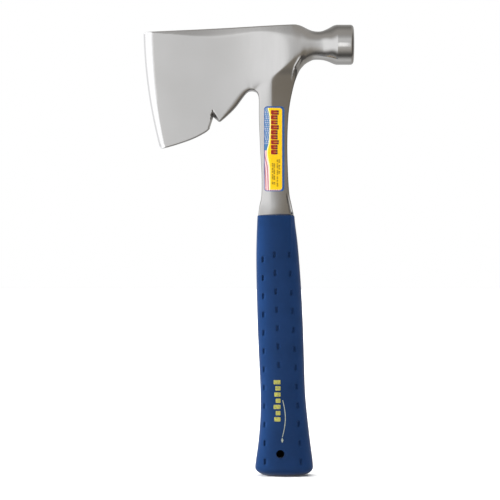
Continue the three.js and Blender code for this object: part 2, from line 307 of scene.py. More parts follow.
def nearest(points, curve):
    """Distance from each point to a polyline, and the polyline's further columns at the nearest place."""
    start, end = curve[:-1], curve[1:]
    run = end[:, :2] - start[:, :2]
    length2 = (run**2).sum(1)
    distance = np.empty(len(points))
    extra = np.empty((len(points), curve.shape[1] - 2))
    for low in range(0, len(points), 4000):
        part = points[low : low + 4000]
        offset = part[:, None, :] - start[None, :, :2]
        t = np.clip((offset * run).sum(2) / length2, 0, 1)
        gap2 = ((offset - t[..., None] * run) ** 2).sum(2)
        best = gap2.argmin(1)
        rows = np.arange(len(part))
        share = t[rows, best][:, None]
        distance[low : low + len(part)] = np.sqrt(gap2[rows, best])
        extra[low : low + len(part)] = start[best, 2:] * (1 - share) + end[best, 2:] * share
    return distance, extra


def smooth_min(a, b, reach):
    """The smaller of two thicknesses with a fillet where they cross."""
    return 0.5 * (a + b - np.sqrt((a - b) ** 2 + reach**2))


def soft_positive(value, soft):
    """The value where it is positive and 0 elsewhere, with the corner softened."""
    return 0.5 * (value + np.sqrt(value**2 + soft**2))


# --- Forging: outline --------------------------------------------------------------------------


def edge_x(z):
    """X of the cutting edge, an arc. Its lower part swings under the handle, and there the bevel's formula
    thins the hidden tang: a known fault."""
    below = np.minimum(z, EDGE_CENTRE_Z) - EDGE_CENTRE_Z
    return EDGE_X + EDGE_RADIUS - np.sqrt(EDGE_RADIUS**2 - below**2)


def top_edge_z(x):
    """Z of the blade's top, a straight line from the toe to the shoulder."""
    return np.interp(x, [TOE[0], SHOULDER_X], [TOE[1], SHOULDER_TOP])


def neck_at(x):
    """Top, bottom, half thickness and squareness of the neck and poll at x."""
    columns = np.array(NECK, float)
    top, bottom, half, square = (along(x, columns[:, [0, k]]) for k in (1, 2, 3, 4))
    into = np.clip(x - (FACE_X - POLL_ROUND), 0, POLL_ROUND)
    shrink = POLL_ROUND - np.sqrt(POLL_ROUND**2 - into**2)
    return top - shrink, bottom + shrink, half - shrink, square


def poll_corner(sign):
    """The rounded corner of the poll's face, from the side to the face."""
    angles = np.linspace(0, math.pi / 2, 7)
    x = FACE_X - POLL_ROUND * (1 - np.sin(angles))
    z = POLL_Z + sign * (POLL_RADIUS - POLL_ROUND * (1 - np.cos(angles)))
    return np.stack([x, z], 1)


def outline():
    """The forging's side view, counter-clockwise from the toe: down the edge and round to the top."""
    heights = np.arange(TOE[1] - 0.9, FOOT[0][1] + 0.3, -STEP)
    edge = np.stack([edge_x(heights), heights], 1)
    neck_x = np.arange(BACK_EDGE[-1][0] + STEP, FACE_X - POLL_ROUND - STEP / 2, STEP)
    neck_top, neck_bottom = neck_at(neck_x)[:2]
    shoulder_x = np.arange(BACK_EDGE[-1][0], SHOULDER_X + STEP / 2, -STEP)
    shoulder = np.stack([shoulder_x, neck_at(shoulder_x)[0]], 1)
    face_low, face_high = POLL_Z - POLL_RADIUS + POLL_ROUND, POLL_Z + POLL_RADIUS - POLL_ROUND
    runs = [
        edge,
        smooth_through(FOOT)[:, :2],
        straight(*NOTCH_THROUGH[:2], 0.4)[1:],
        straight(*NOTCH_THROUGH[1:], 0.4)[1:],
        smooth_through(BAY)[:, :2],
        smooth_through(TANG_LEFT, TANG_STEP)[1:],
        straight(TANG_LEFT[-1], TANG_RIGHT[0], TANG_STEP)[1:-1],
        smooth_through(TANG_RIGHT, TANG_STEP)[:-1],
        smooth_through(BACK_EDGE)[:, :2],
        np.stack([neck_x, neck_bottom], 1),
        poll_corner(-1),
        straight((FACE_X, face_low), (FACE_X, face_high))[1:-1],
        poll_corner(1)[::-1],
        np.stack([neck_x, neck_top], 1)[::-1],
        shoulder,
        straight((SHOULDER_X, SHOULDER_TOP), TOE)[1:],
    ]
    return np.vstack(runs)


# --- Forging: thickness ------------------------------------------------------------------------


def columns_of(rows, value):
    """The (place, value) stations of one column of a table."""
    return [(row[0], row[value]) for row in rows]


def body_half(x, z):
    """Half thickness of the blade, cheek and shank before their edges are cut."""
    cheek = along(x - edge_x(z), CHEEK)
    aside = x - RIDGE_X
    soft = along(z, RIDGE_SOFT)
    right, left = soft_positive(aside, soft), soft_positive(-aside, soft)
    reach = along(z, LEFT_ROUND)
    shank = along(z, RIDGE_HALF) - along(z, LEFT_SLOPE) * (np.hypot(left, reach) - reach)
    shank -= along(z, RIGHT_SLOPE) * right + along(z, RIGHT_CURVE) * right**2
    shank += BLADE_RISE * soft_positive(BLADE_X - x, 0.6)
    shank += along(x, ROOT_SLOPE) * soft_positive(z - along(x, ROOT_LINE), 1.2) * ramp(-aside, -1, 3)
    return smooth_min(cheek, shank, along(aside, CHEEK_FILLET))


def notch_share(points):
    """0 on the notch's through edge, 1 where its walls reach the cheek."""
    shares = []
    for wall in (slice(0, 2), slice(1, 3)):
        gaps = []
        for a, b in (NOTCH_THROUGH[wall], NOTCH_FACE[wall]):
            run = np.array(b, float) - a
            normal = np.array([-run[1], run[0]]) / np.linalg.norm(run)
            gaps.append((points - a) @ normal)
        shares.append(gaps[0] / np.maximum(gaps[0] - gaps[1], 1e-6))
    return np.maximum(*shares)


def seam_height(points):
    """The raised seam beside the neck's underside."""
    distance, extra = nearest(points, smooth_through(SEAM))
    height, kept = extra.T
    bead = np.exp(-((distance / SEAM_WIDTH) ** 2))
    behind = points[:, 0] > along(points[:, 1], [(row[1], row[0]) for row in SEAM])
    return height * np.where(behind, kept + (1 - kept) * bead, bead)


def edge_cuts(points, x, z, body):
    """How much the edges' facets, roundings and rim take off the body."""
    width, soft = (along(x, columns_of(TOP_FACET, k)) for k in (1, 2))
    top_gap = top_edge_z(x) - z
    cut = TOP_FACET_SLOPE * soft_positive(width - top_gap, soft)
    for rows in (TOP_EDGE, FOOT, BAY, BACK_EDGE):
        distance, extra = nearest(points, smooth_through(rows))
        width, depth = extra.T
        lean = along(z, BACK_LEAN) if rows is BACK_EDGE else 0
        into = lean + (1 - lean) * np.clip(1 - distance / width, 0, 1)
        cut += np.minimum(depth, 0.9 * body) * (np.sqrt(1 - lean**2) - np.sqrt(1 - into**2))
    outwards = np.clip(1 - distance / RIM_WIDTH[0], 0, 1)
    cut += along(z, RIM_DEPTH) * (1 - ramp(distance, *RIM_WIDTH) - RIM_TILT * outwards)
    near_notch = (np.abs(x - NOTCH_MIDDLE) < NOTCH_REACH) & (z < NOTCH_ABOVE)
    share = np.where(near_notch, notch_share(points), 1.0)
    return cut + (body - NOTCH_LAND) * np.clip(1 - share, 0, 1)


def forging_half(points):
    """Half thickness of the forging at points of its side view."""
    x, z = points.T
    behind = np.maximum(x - edge_x(z), 0)
    body = body_half(x, z)
    plate = np.maximum(body - edge_cuts(points, x, z, body), 0)
    grind = [(0, EDGE_HALF), (HONE_WIDTH, HONE_HALF)]
    bevel_share = (behind - HONE_WIDTH) / (along(z, BEVEL_WIDTH) - HONE_WIDTH)
    bevel = np.where(
        behind < HONE_WIDTH,
        np.interp(behind, *np.array(grind).T),
        HONE_HALF + (BEVEL_HALF - HONE_HALF) * bevel_share,
    )
    plate = np.minimum(plate, bevel)
    top, bottom, half, square = neck_at(x)
    across = np.clip(np.abs(2 * z - top - bottom) / (top - bottom), 0, 1)
    neck = half * (1 - across**square) ** (1 / square)
    start, spread = (along(z, columns_of(NECK_START, k)) for k in (1, 2))
    neck_share = ramp(x - start, -0.5 * spread, spread)
    solid = plate * (1 - neck_share) + neck * neck_share
    return np.maximum(solid + seam_height(points), LEAST_HALF)


# --- Forging: mesh -----------------------------------------------------------------------------


def inside(points, polygon):
    """Whether each point is inside a closed polygon."""
    found = np.zeros(len(points), bool)
    x, z = points.T
    for (ax, az), (bx, bz) in zip(polygon, np.roll(polygon, -1, 0)):
        crosses = (az > z) != (bz > z)
        if az != bz:
            found ^= crosses & (x < (bx - ax) * (z - az) / (bz - az) + ax)
    return found


def rings_inside(polygon):
    """Points in rows that follow the outline inside it, closer together near it."""
    tangent = np.roll(polygon, -1, 0) - np.roll(polygon, 1, 0)
    normal = np.stack([-tangent[:, 1], tangent[:, 0]], 1) / np.linalg.norm(tangent, axis=1)[:, None]
    closed = np.vstack([polygon, polygon[:1]])
    kept = []
    for inset in RINGS:
        ring = polygon + normal * inset
        far = nearest(ring, closed)[0] > RING_KEPT * inset
        kept.append(ring[far & inside(ring, polygon)])
    return kept


def hex_grid(low, high, step):
    """Staggered points that fill a rectangle."""
    rows = np.arange(low[1], high[1], step * GRID_ROW)
    columns = np.arange(low[0], high[0], step)
    x, z = np.meshgrid(columns, rows)
    x = x + (np.arange(len(rows)) % 2)[:, None] * step / 2
    return np.stack([x.ravel(), z.ravel()], 1)


def crease_lines():
    """Lines where the forging's surface turns sharply, each a run of points."""
    heights = np.arange(FOOT[0][1] + 3.4, TOE[1] - 1, STEP)
    bevel = np.stack([edge_x(heights) + along(heights, BEVEL_WIDTH), heights], 1)
    hone = np.stack([edge_x(heights) + HONE_WIDTH, heights], 1)
    ridge = straight((RIDGE_X, GRIP_TOP - 3), (RIDGE_X, 294))
    top_x = np.arange(-80, 2, STEP)
    top = np.stack([top_x, top_edge_z(top_x) - along(top_x, columns_of(TOP_FACET, 1))], 1)
    notch = np.vstack([straight(*NOTCH_FACE[:2], 0.5)[3:], straight(*NOTCH_FACE[1:], 0.5)[1:-1]])
    seam = smooth_through(SEAM, 0.5)[:, :2]
    return [bevel, hone, top, notch, ridge, seam]


def side_view_mesh():
    """The forging's side view as triangles: points and faces."""
    polygon = outline()
    closed = np.vstack([polygon, polygon[:1]])
    fixed = [polygon, *crease_lines(), *rings_inside(polygon)]
    low, high = polygon.min(0), polygon.max(0)
    fine = hex_grid((low[0], GRIP_TOP - 4), high, STEP)
    coarse = hex_grid(low, (high[0], GRIP_TOP - 5), TANG_STEP)
    grid = np.vstack([fine, coarse])
    grid = grid[inside(grid, polygon)]
    grid = grid[nearest(grid, closed)[0] > RINGS[-1] + LINE_CLEARANCE]
    for line in crease_lines():
        grid = grid[nearest(grid, line)[0] > LINE_CLEARANCE]
    points = np.vstack([*fixed, grid])
    edges = [(i, (i + 1) % len(polygon)) for i in range(len(polygon))]
    first = len(polygon)
    for line in crease_lines():
        edges += [(first + i, first + i + 1) for i in range(len(line) - 1)]
        first += len(line)
    made = delaunay_2d_cdt([Vector(p) for p in points], edges, [], 1, 1e-4)
    return np.array([tuple(p) for p in made[0]]), np.array(made[2])


def surface_normals(points):
    """Unit normals of the face towards -Y at points of the side view."""
    reach = 0.04
    slope_x, slope_z = (
        (forging_half(points + step) - forging_half(points - step)) / (2 * reach)
        for step in (np.array([reach, 0]), np.array([0, reach]))
    )
    normals = np.stack([-slope_x, -np.ones(len(points)), -slope_z], 1)
    return normals / np.linalg.norm(normals, axis=1)[:, None]


def make_object(name, vertices, faces, material):
    """A smooth-shaded piece on the tool's one body, from vertices in millimetres."""
    mesh = bpy.data.meshes.new(name)
    mesh.from_pydata((np.asarray(vertices) * MM).tolist(), [], [list(map(int, f)) for f in faces])
    mesh.validate()
    mesh.materials.append(material)
    piece = bpy.data.objects.new(name, mesh)
    bpy.context.scene.collection.objects.link(piece)
    mesh.shade_smooth()
    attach(piece, "root")
    return piece


def rim_edges(faces):
    """Directed edges that belong to one triangle only."""
    edges = np.vstack([faces[:, [0, 1]], faces[:, [1, 2]], faces[:, [2, 0]]])
    seen = {tuple(edge) for edge in edges.tolist()}
    return [(a, b) for a, b in seen if (b, a) not in seen]


def make_forging(material):
    points, faces = side_view_mesh()
    half = forging_half(points)
    normals = surface_normals(points)
    count = len(points)
    front = np.stack([points[:, 0], -half, points[:, 1]], 1)
    back = front * [1, -1, 1]
    walls = [(a, a + count, b + count, b) for a, b in rim_edges(faces)]
    all_faces = [*faces.tolist(), *(faces[:, ::-1] + count).tolist(), *walls]
    piece = make_object("steel_forging", np.vstack([front, back]), all_faces, material)
    mesh = piece.data
    edge_line = points[:, 0] - edge_x(points[:, 1])
    ground = 1 - ramp(edge_line - along(points[:, 1], BEVEL_WIDTH), *BEVEL_BLEND)
    attribute = mesh.attributes.new("ground_bevel", "FLOAT", "POINT")
    attribute.data.foreach_set("value", np.tile(ground, 2).astype(np.float32))
    both = np.vstack([normals, normals * [1, -1, 1]])
    corner_vertex = np.empty(len(mesh.loops), int)
    mesh.loops.foreach_get("vertex_index", corner_vertex)
    corner_normals = both[corner_vertex]
    for polygon in mesh.polygons:
        if len(polygon.vertices) == 4:
            for loop in polygon.loop_indices:
                corner_normals[loop] = polygon.normal
    mesh.normals_split_custom_set(corner_normals.tolist())
    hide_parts(FORGING)


# --- Grip --------------------------------------------------------------------------------------

# Side view and half thickness of the grip: (z, left, right, half)
GRIP_SHAPE = [
    (0, -22.3, 21.9, 15.2),
    (5, -22.1, 21.6, 15.1),
    (10, -21.6, 21.3, 14.9),
    (19, -20.3, 20.2, 14.5),
    (30, -19.0, 18.8, 14.0),
    (43, -18.1, 17.3, 13.5),
    (59, -17.9, 15.8, 13.1),
    (77, -18.5, 15.0, 12.9),
    (96, -19.4, 14.5, 12.8),
    (122, -20.4, 13.5, 12.8),
    (141, -20.8, 12.5, 12.5),
    (163, -21.1, 10.9, 11.9),
    (180, -20.8, 9.2, 10.8),
    (190, -20.4, 7.9, 9.4),
    (GRIP_TOP, -20.2, 7.5, 8.6),
]
GRIP_SQUARE = 2.5
CAVITY_SQUARE = 6
CAVITY_HALF = 5.25
CAVITY_GAP = 0.35
BUTT_HEIGHT, BUTT_INSET = 6.5, 12.0
LIP_HEIGHT, LIP_INSET = 1.1, 0.8
PIN_HOLE = (-3.3, 17.2)
PIN_HOLE_RADIUS = 3.1

# Columns of recesses: lowest and highest centre (x, z) and how many
RECESS_COLUMNS = [
    ((-14.3, 11.4), (-16.0, 161.8), 12),
    ((-4.2, 83.4), (-7.5, 165.4), 7),
    ((11.8, 11.4), (3.2, 165.2), 12),
]
RECESS_DEPTH = 1.3
RECESS_SIDE = (0.45, 1.2)  # from a recess's middle to the side of its floor and to its rim
RECESS_END = (1.4, 2.6)  # the same lengthways
RECESS_ACROSS = [-1.3, -0.95, -0.55, 0, 0.55, 0.95, 1.3]
RECESS_UP = [-2.7, -2.3, -1.4, 0, 1.4, 2.3, 2.7]
TELEGRAPH = [(3.2, 0.3), (4.8, 0.8)]  # ridges that the tang's rim raises at the top: (x, height)
TELEGRAPH_FADE = (160, 190)
TELEGRAPH_WIDTH = 0.6
COLUMN_LINES = (18, 13, 18, 22)  # upright mesh lines left of, between and right of the recess columns
GRIP_STEP = 1.1
LEVEL_GRAIN = 0.2  # mesh rows lie at multiples of this height
CAVITY_LEVELS = (GRIP_TOP - 0.02, 186, 160, 130, 95, 60, TANG_END - 0.6)


def grip_section(z):
    """Centre, half width and half thickness of the grip at heights z."""
    rows = np.array(GRIP_SHAPE, float)
    left, right, half = (along(z, rows[:, [0, k]]) for k in (1, 2, 3))
    return (left + right) / 2, (right - left) / 2, half


def grip_half(x, z):
    """Half thickness of the grip's face, without its recesses."""
    centre, width, half = grip_section(z)
    across = np.clip(np.abs((x - centre) / width), 0, 1)
    return half * (1 - across**GRIP_SQUARE) ** (1 / GRIP_SQUARE)


def recess_centres():
    """The centres of each column's recesses."""
    for (x0, z0), (x1, z1), count in RECESS_COLUMNS:
        share = np.arange(count) / (count - 1)
        yield np.stack([x0 + (x1 - x0) * share, z0 + (z1 - z0) * share], 1)


def recess_depth(x, z):
    """How deep the recesses are at points of the side view."""
    depth = np.zeros(np.broadcast(x, z).shape)
    for centres in recess_centres():
        for cx, cz in centres:
            across = 1 - ramp(np.abs(x - cx), *RECESS_SIDE)
            up = 1 - ramp(np.abs(z - cz), *RECESS_END)
            depth = np.maximum(depth, RECESS_DEPTH * across * up)
    return depth


def grip_columns(z):
    """Places across the grip's face at each height, left to right, with fine lines at the recesses."""
    centre, width, _ = grip_section(z)
    ends = [centre - width]
    for (x0, z0), (x1, z1), _ in RECESS_COLUMNS:
        ends.append(x0 + (x1 - x0) * (z - z0) / (z1 - z0))
    ends.append(centre + width)
    lines = []
    for k, count in enumerate(COLUMN_LINES):
        start = ends[k] + (RECESS_ACROSS[-1] if k else 0)
        end = ends[k + 1] + (RECESS_ACROSS[0] if k < 3 else 0)
        share = np.arange(count + 1)[:, None] / count
        if k == 0:
            share = 1 - np.cos(share * math.pi / 2)
        if k == 3:
            share = np.sin(share * math.pi / 2)
        lines.append(start + (end - start) * share[:-1])
        if k < 3:
            lines.append(np.array(RECESS_ACROSS[:-1])[:, None] + ends[k + 1])
    lines.append(ends[-1][None, :])
    return np.vstack(lines).T


def grip_levels():
    """Heights of the grip's rows, with close rows at every recess and at both ends."""
    marks = [z + up for centres in recess_centres() for _, z in centres for up in RECESS_UP]
    fill = np.arange(BUTT_HEIGHT, GRIP_TOP - LIP_HEIGHT, GRIP_STEP)
    levels = np.unique(np.round(np.concatenate([marks, fill]) / LEVEL_GRAIN) * LEVEL_GRAIN)
    return levels[(levels > BUTT_HEIGHT) & (levels < GRIP_TOP - LIP_HEIGHT)]


def grip_row(z, inset):
    """One closed row round the grip, drawn in by an inset, with its recesses and ridges."""
    columns = grip_columns(np.array([z]))[0]
    centre, width, half = (float(v[0]) for v in grip_section(np.array([z])))
    u = np.clip((columns - centre) / width, -1, 1)
    face = (1 - np.abs(u) ** GRIP_SQUARE) ** (1 / GRIP_SQUARE)
    x = centre + u * (width - inset)
    y = face * (half - inset) - recess_depth(columns, z) * (face > 0.3)
    for place, height in TELEGRAPH:
        ridge = np.exp(-(((columns - place) / TELEGRAPH_WIDTH) ** 2))
        y = y + height * ramp(z, *TELEGRAPH_FADE) * ridge
    front = np.stack([x, -y, np.full(len(x), z)], 1)
    return np.vstack([front, (front * [1, -1, 1])[-2:0:-1]])


def cavity_row(z, count):
    """One closed row of the hollow that the tang fills, with the same number of points."""
    left = along(np.array([z]), [(p[1], p[0]) for p in TANG_LEFT[::-1]])[0] - CAVITY_GAP
    right = along(np.array([z]), [(p[1], p[0]) for p in TANG_RIGHT])[0] + CAVITY_GAP
    angle = math.pi + 2 * math.pi * np.arange(count) / count
    power = 2 / CAVITY_SQUARE
    x = (left + right) / 2 + (right - left) / 2 * np.sign(np.cos(angle)) * np.abs(np.cos(angle)) ** power
    y = CAVITY_HALF * np.sign(np.sin(angle)) * np.abs(np.sin(angle)) ** power
    return np.stack([x, y, np.full(count, z)], 1)


def grip_rows():
    """Every row of the sleeve, from the middle of the butt, up the outside and down the inside."""
    rows = []
    turn = np.linspace(0, math.pi / 2, 9)
    butt = grip_row(0.0, BUTT_INSET)
    middle = butt.mean(0)
    rows += [middle + (butt - middle) * share * [1, 1, 0] for share in (0.1, 0.4, 0.7)]
    for angle in turn:
        rows.append(grip_row(BUTT_HEIGHT * (1 - math.cos(angle)), BUTT_INSET * (1 - math.sin(angle))))
    rows += [grip_row(float(z), 0) for z in grip_levels()]
    for angle in np.linspace(0, math.pi / 2, 6):
        rise, inset = LIP_HEIGHT * math.sin(angle), LIP_INSET * (1 - math.cos(angle))
        rows.append(grip_row(GRIP_TOP - LIP_HEIGHT + rise, inset))
    count = len(rows[0])
    rows += [cavity_row(z, count) for z in CAVITY_LEVELS]
    last = rows[-1]
    rows.append(last.mean(0) + (last - last.mean(0)) * [0.1, 0.1, 0])
    return rows


def make_grip(material):
    rows = grip_rows()
    count = len(rows[0])
    vertices = np.vstack(rows)
    faces = []
    for row in range(len(rows) - 1):
        for i in range(count):
            a, b = row * count + i, row * count + (i + 1) % count
            faces.append((a, b, b + count, a + count))
    faces.append(list(range(count))[::-1])
    faces.append([len(vertices) - count + i for i in range(count)])
    piece = make_object("moulded_grip", vertices, faces, material)
    drill_pin_hole(piece)
    piece.data.set_sharp_from_angle(angle=SHARP_ANGLE)
    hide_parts(GRIP)


def drill_pin_hole(piece):
    """Cuts the locating-pin hole through both walls of the sleeve."""
    bpy.ops.mesh.primitive_cylinder_add(
        vertices=64,
        radius=PIN_HOLE_RADIUS * MM,
        depth=60 * MM,
        location=(PIN_HOLE[0] * MM, 0, PIN_HOLE[1] * MM),
        rotation=(math.pi / 2, 0, 0),
    )
    drill = bpy.context.object
    cut = piece.modifiers.new("pin_hole", "BOOLEAN")
    cut.operation, cut.solver, cut.object = "DIFFERENCE", "EXACT", drill
    bpy.context.view_layer.objects.active = piece
    bpy.ops.object.modifier_apply(modifier=cut.name)
    bpy.data.objects.remove(drill)


# --- Label and mark ----------------------------------------------------------------------------


def rounded_box(left, right, low, high, radius, step=0.3):
    """A closed outline with rounded corners, counter-clockwise."""
    angles = np.linspace(0, math.pi / 2, 7)
    corners = [(right, high, 0), (left, high, 1), (left, low, 2), (right, low, 3)]
    points = []
    for x, z, quarter in corners:
        cx = x - radius if quarter in (0, 3) else x + radius
        cz = z - radius if quarter in (0, 1) else z + radius
        turned = angles + quarter * math.pi / 2
        points.append(np.stack([cx + radius * np.cos(turned), cz + radius * np.sin(turned)], 1))
    sparse = np.vstack(points)
    closed = np.vstack([sparse, sparse[:1]])
    sides = [straight(a, b, step)[:-1] for a, b in zip(closed, closed[1:]) if np.hypot(*(b - a)) > 1e-6]
    return np.vstack(sides)


def film(polygon, height_at, thickness, step):
    """A thin closed skin over a region of the side view: vertices and faces."""
    grid = hex_grid(polygon.min(0), polygon.max(0), step)
    grid = grid[inside(grid, polygon)]
    grid = grid[nearest(grid, np.vstack([polygon, polygon[:1]]))[0] > 0.4 * step]
    edges = [(i, (i + 1) % len(polygon)) for i in range(len(polygon))]
    points = [Vector(p) for p in np.vstack([polygon, grid])]
    made = delaunay_2d_cdt(points, edges, [], 1, 1e-5)
    flat = np.array([tuple(p) for p in made[0]])
    faces = np.array(made[2])
    under = height_at(flat)
    lower = np.stack([flat[:, 0], -under, flat[:, 1]], 1)
    upper = lower - [0, thickness, 0]
    count = len(flat)
    walls = [(a, a + count, b + count, b) for a, b in rim_edges(faces)]
    return np.vstack([upper, lower]), [*faces.tolist(), *(faces[:, ::-1] + count).tolist(), *walls]


LABEL_FILM = 0.12
LABEL_CORNER = 2.4
LABEL_STEP = 0.28
# Side strip and yellow panel: margins from the label's left, right, bottom and top, and corner radius
STRIP = (0.5, 2, 0.6, 1.1, 1.8)
PANEL = (1.5, 1.7, 1.1, 1.2, 2.0)
STRIPES_TOP = 30.5  # height of the striped part of the side strip
DOTS_ABOVE = (4, 5)  # how far above the stripes the dots fade in
DOT_TURN, DOT_ROW, DOT_SHIFT = 4.05, 1.55, 1.6  # radians in each mm, row height, radians from row to row
STRIPE_TURN, STRIPE_LEAN = 3.6, 0.12  # radians in each mm across and up
PANEL_EDGE = [
    (0, 4.5),
    (12, 4.5),
    (19.5, 4.1),
    (24.8, 3.1),
    (30.8, 2.8),
    (33.8, 3.6),
    (38.3, 4.4),
    (47, 4.8),
    (57, 4.5),
    (61.5, 3.4),
]  # (height above the label's bottom, the yellow panel's distance from its left side)
MARK_COUNT = 9
MARK_PITCH = 3.7
MARK_INSET = (7.5, 4.6)  # the top mark's middle from the label's right side and top
MARK_HALF = 1.65
MARK_REACH = (3.4, 2.5, 2.5)  # how far right the marks reach, three by three
TEXT_LINES = [(6.3, 5, 21), (7.7, 5, 21), (10.0, 3.5, 24), (11.4, 13, 24)]  # (x, from, to)
TEXT_HALF = 0.6
DASH_TURN, WORD_TURN = 5.5, 1.3  # radians in each mm, for the gaps between dashes and between words


def box_mask(x, z, left, right, low, high, radius, soft=0.12):
    """1 inside a rounded box and 0 outside it, with a soft edge."""
    px = np.abs(x - (left + right) / 2) - (right - left) / 2 + radius
    pz = np.abs(z - (low + high) / 2) - (high - low) / 2 + radius
    away = np.hypot(px.clip(0), pz.clip(0)) + np.minimum(np.maximum(px, pz), 0) - radius
    return np.clip(0.5 - away / soft, 0, 1)


def linear(red, green, blue):
    """A display colour of 0 to 255 as linear light."""
    return np.array([(c / 255) ** 2.2 for c in (red, green, blue)])


LABEL_BLUE = linear(38, 78, 132)
LABEL_YELLOW = linear(224, 180, 2)
LABEL_RED = linear(138, 34, 28)
LABEL_SHADOW = linear(84, 26, 48)
LABEL_SKY = linear(64, 108, 150)
LABEL_PALE = linear(220, 208, 212)
LABEL_PINK = linear(212, 184, 190)
LABEL_OLIVE = linear(116, 98, 16)
LABEL_CREAM = linear(246, 226, 150)


def label_box(x, z, left, right, bottom, top, radius):
    """1 on the label inside margins from its four sides, and 0 outside them."""
    sides = (label_low[0] + left, label_high[0] - right, label_low[2] + bottom, label_high[2] - top)
    return box_mask(x, z, *sides, radius)


def paint_strip(paint, x, z, from_edge):
    """The strip left of the panel: a dotted sky above, stripes below."""
    up = z - label_low[2]
    strip = label_box(x, z, *STRIP)
    sky = ramp(up, STRIPES_TOP - 0.2, STRIPES_TOP + 0.2)
    paint(strip * sky, LABEL_SKY)
    shift = DOT_SHIFT * np.floor(z / DOT_ROW)
    dots = (np.sin(x * DOT_TURN + shift) > -0.1) & (np.sin(z * DOT_TURN) > -0.1)
    paint(strip * dots * ramp(up, *(STRIPES_TOP + above for above in DOTS_ABOVE)) * 0.55, LABEL_PALE)
    paint(strip * (1 - sky), LABEL_PINK)
    stripes = ramp(np.sin(from_edge * STRIPE_TURN + up * STRIPE_LEAN), -0.3, 0.2)
    paint(strip * (1 - sky) * stripes * 0.7, LABEL_RED)


def paint_panel(paint, x, z, from_edge):
    """The yellow panel, with a cream line along its curved side."""
    panel = label_box(x, z, *PANEL)
    paint(panel * ramp(from_edge, -0.75, -0.5), LABEL_CREAM)
    paint(panel * ramp(from_edge, -0.1, 0.15), LABEL_YELLOW)


def paint_marks(paint, x, z):
    """A column of plain blocks, each with a shadow to its right and a thin slit."""
    middle = label_high[0] - MARK_INSET[0]
    for k in range(MARK_COUNT):
        height = label_high[2] - MARK_INSET[1] - MARK_PITCH * k
        reach = MARK_REACH[k % 3]
        low, high = height - MARK_HALF, height + MARK_HALF
        paint(box_mask(x, z, middle - 2.2, middle + reach, low, high, 0.5), LABEL_SHADOW)
        paint(box_mask(x, z, middle - 2.6, middle + reach - 1.3, low + 0.2, high, 0.5), LABEL_RED)
        slit = box_mask(x, z, middle - 0.6, middle + reach, height - 0.3, height + 0.3, 0.2)
        paint(slit * 0.4, LABEL_YELLOW)


def paint_text(paint, x, z):
    """Rows of dashes in place of small print."""
    for k, (across, start, end) in enumerate(TEXT_LINES):
        dashes = (np.sin(z * DASH_TURN + 2.3 * k) > -0.7) & (np.sin(z * WORD_TURN + k) > -0.85)
        middle = label_low[0] + across
        start, end = label_low[2] + start, label_low[2] + end
        line = box_mask(x, z, middle - TEXT_HALF, middle + TEXT_HALF, start, end, 0.1)
        paint(line * dashes * 0.9, LABEL_OLIVE)


def label_ink(x, z):
    """The label's printed colours at points of the side view, painted over a blue ground."""
    ink = np.tile(LABEL_BLUE, (len(x), 1))

    def paint(mask, colour):
        ink[:] = ink * (1 - mask[:, None]) + colour * mask[:, None]

    from_edge = x - (label_low[0] + along(z - label_low[2], PANEL_EDGE))
    paint_strip(paint, x, z, from_edge)
    paint_panel(paint, x, z, from_edge)
    paint_marks(paint, x, z)
    paint_text(paint, x, z)
    return ink


def make_label(material):
    polygon = rounded_box(label_low[0], label_high[0], label_low[2], label_high[2], LABEL_CORNER)
    vertices, faces = film(polygon, lambda p: forging_half(p) + 0.01, LABEL_FILM, LABEL_STEP)
    piece = make_object("foil_label", vertices, faces, material)
    ink = label_ink(vertices[:, 0], vertices[:, 2])
    colours = piece.data.color_attributes.new("ink", "FLOAT_COLOR", "POINT")
    opaque = np.hstack([ink, np.ones((len(ink), 1))])
    colours.data.foreach_set("color", opaque.ravel().astype(np.float32))
    piece.data.set_sharp_from_angle(angle=SHARP_ANGLE)
    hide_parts(LABEL)


# Mark printed on the grip
MARK_FILM = 0.08
MARK_STEP = 0.45
MARK_X = (-8.2, -3.1)
BAR_HALF = 1.6
BARS_TOP, BAR_PITCH = 70.6, 4.6
BAR_LENGTHS = (1, 0.75, 0.9, 0.7, 1, 0.7, 0.9)  # as shares of the mark's width, from the top
LINE_LOW, LINE_HIGH, LINE_STEP = 30.0, 58.0, 0.8
LINE_X, LINE_BOW, LINE_HALF = -1.7, 2.2, 0.28
DIAMOND = [(-1.8, 25.6), (-0.9, 27.6), (-1.8, 29.6), (-2.7, 27.6)]


def mark_outlines():
    """Plain bars in a column, and beside them a thin line that ends in a small diamond."""
    low, high = MARK_X
    bars = []
    for k, share in enumerate(BAR_LENGTHS):
        z = round(BARS_TOP - BAR_PITCH * k, 1)
        bars.append(rounded_box(high - (high - low) * share, high, z - BAR_HALF, z + BAR_HALF, 0.5, 0.4))
    heights = np.arange(LINE_LOW, LINE_HIGH, LINE_STEP)
    bow = LINE_X + LINE_BOW * np.sin((heights - LINE_LOW) / (LINE_HIGH - LINE_LOW) * math.pi)
    side = np.stack([bow, heights], 1)
    line = np.vstack([side + [LINE_HALF, 0], side[::-1] - [LINE_HALF, 0]])
    return bars, [line, np.array(DIAMOND)]


def make_mark(name, outlines, material):
    """A piece of the mark: thin skins on the grip's shown face."""
    vertices, faces = [], []
    for polygon in outlines:
        skin, skin_faces = film(polygon, lambda p: grip_half(*p.T) - 0.02, MARK_FILM, MARK_STEP)
        first = sum(len(v) for v in vertices)
        vertices.append(skin)
        faces += [[first + i for i in face] for face in skin_faces]
    make_object(name, np.vstack(vertices), faces, material)


# --- Materials ---------------------------------------------------------------------------------

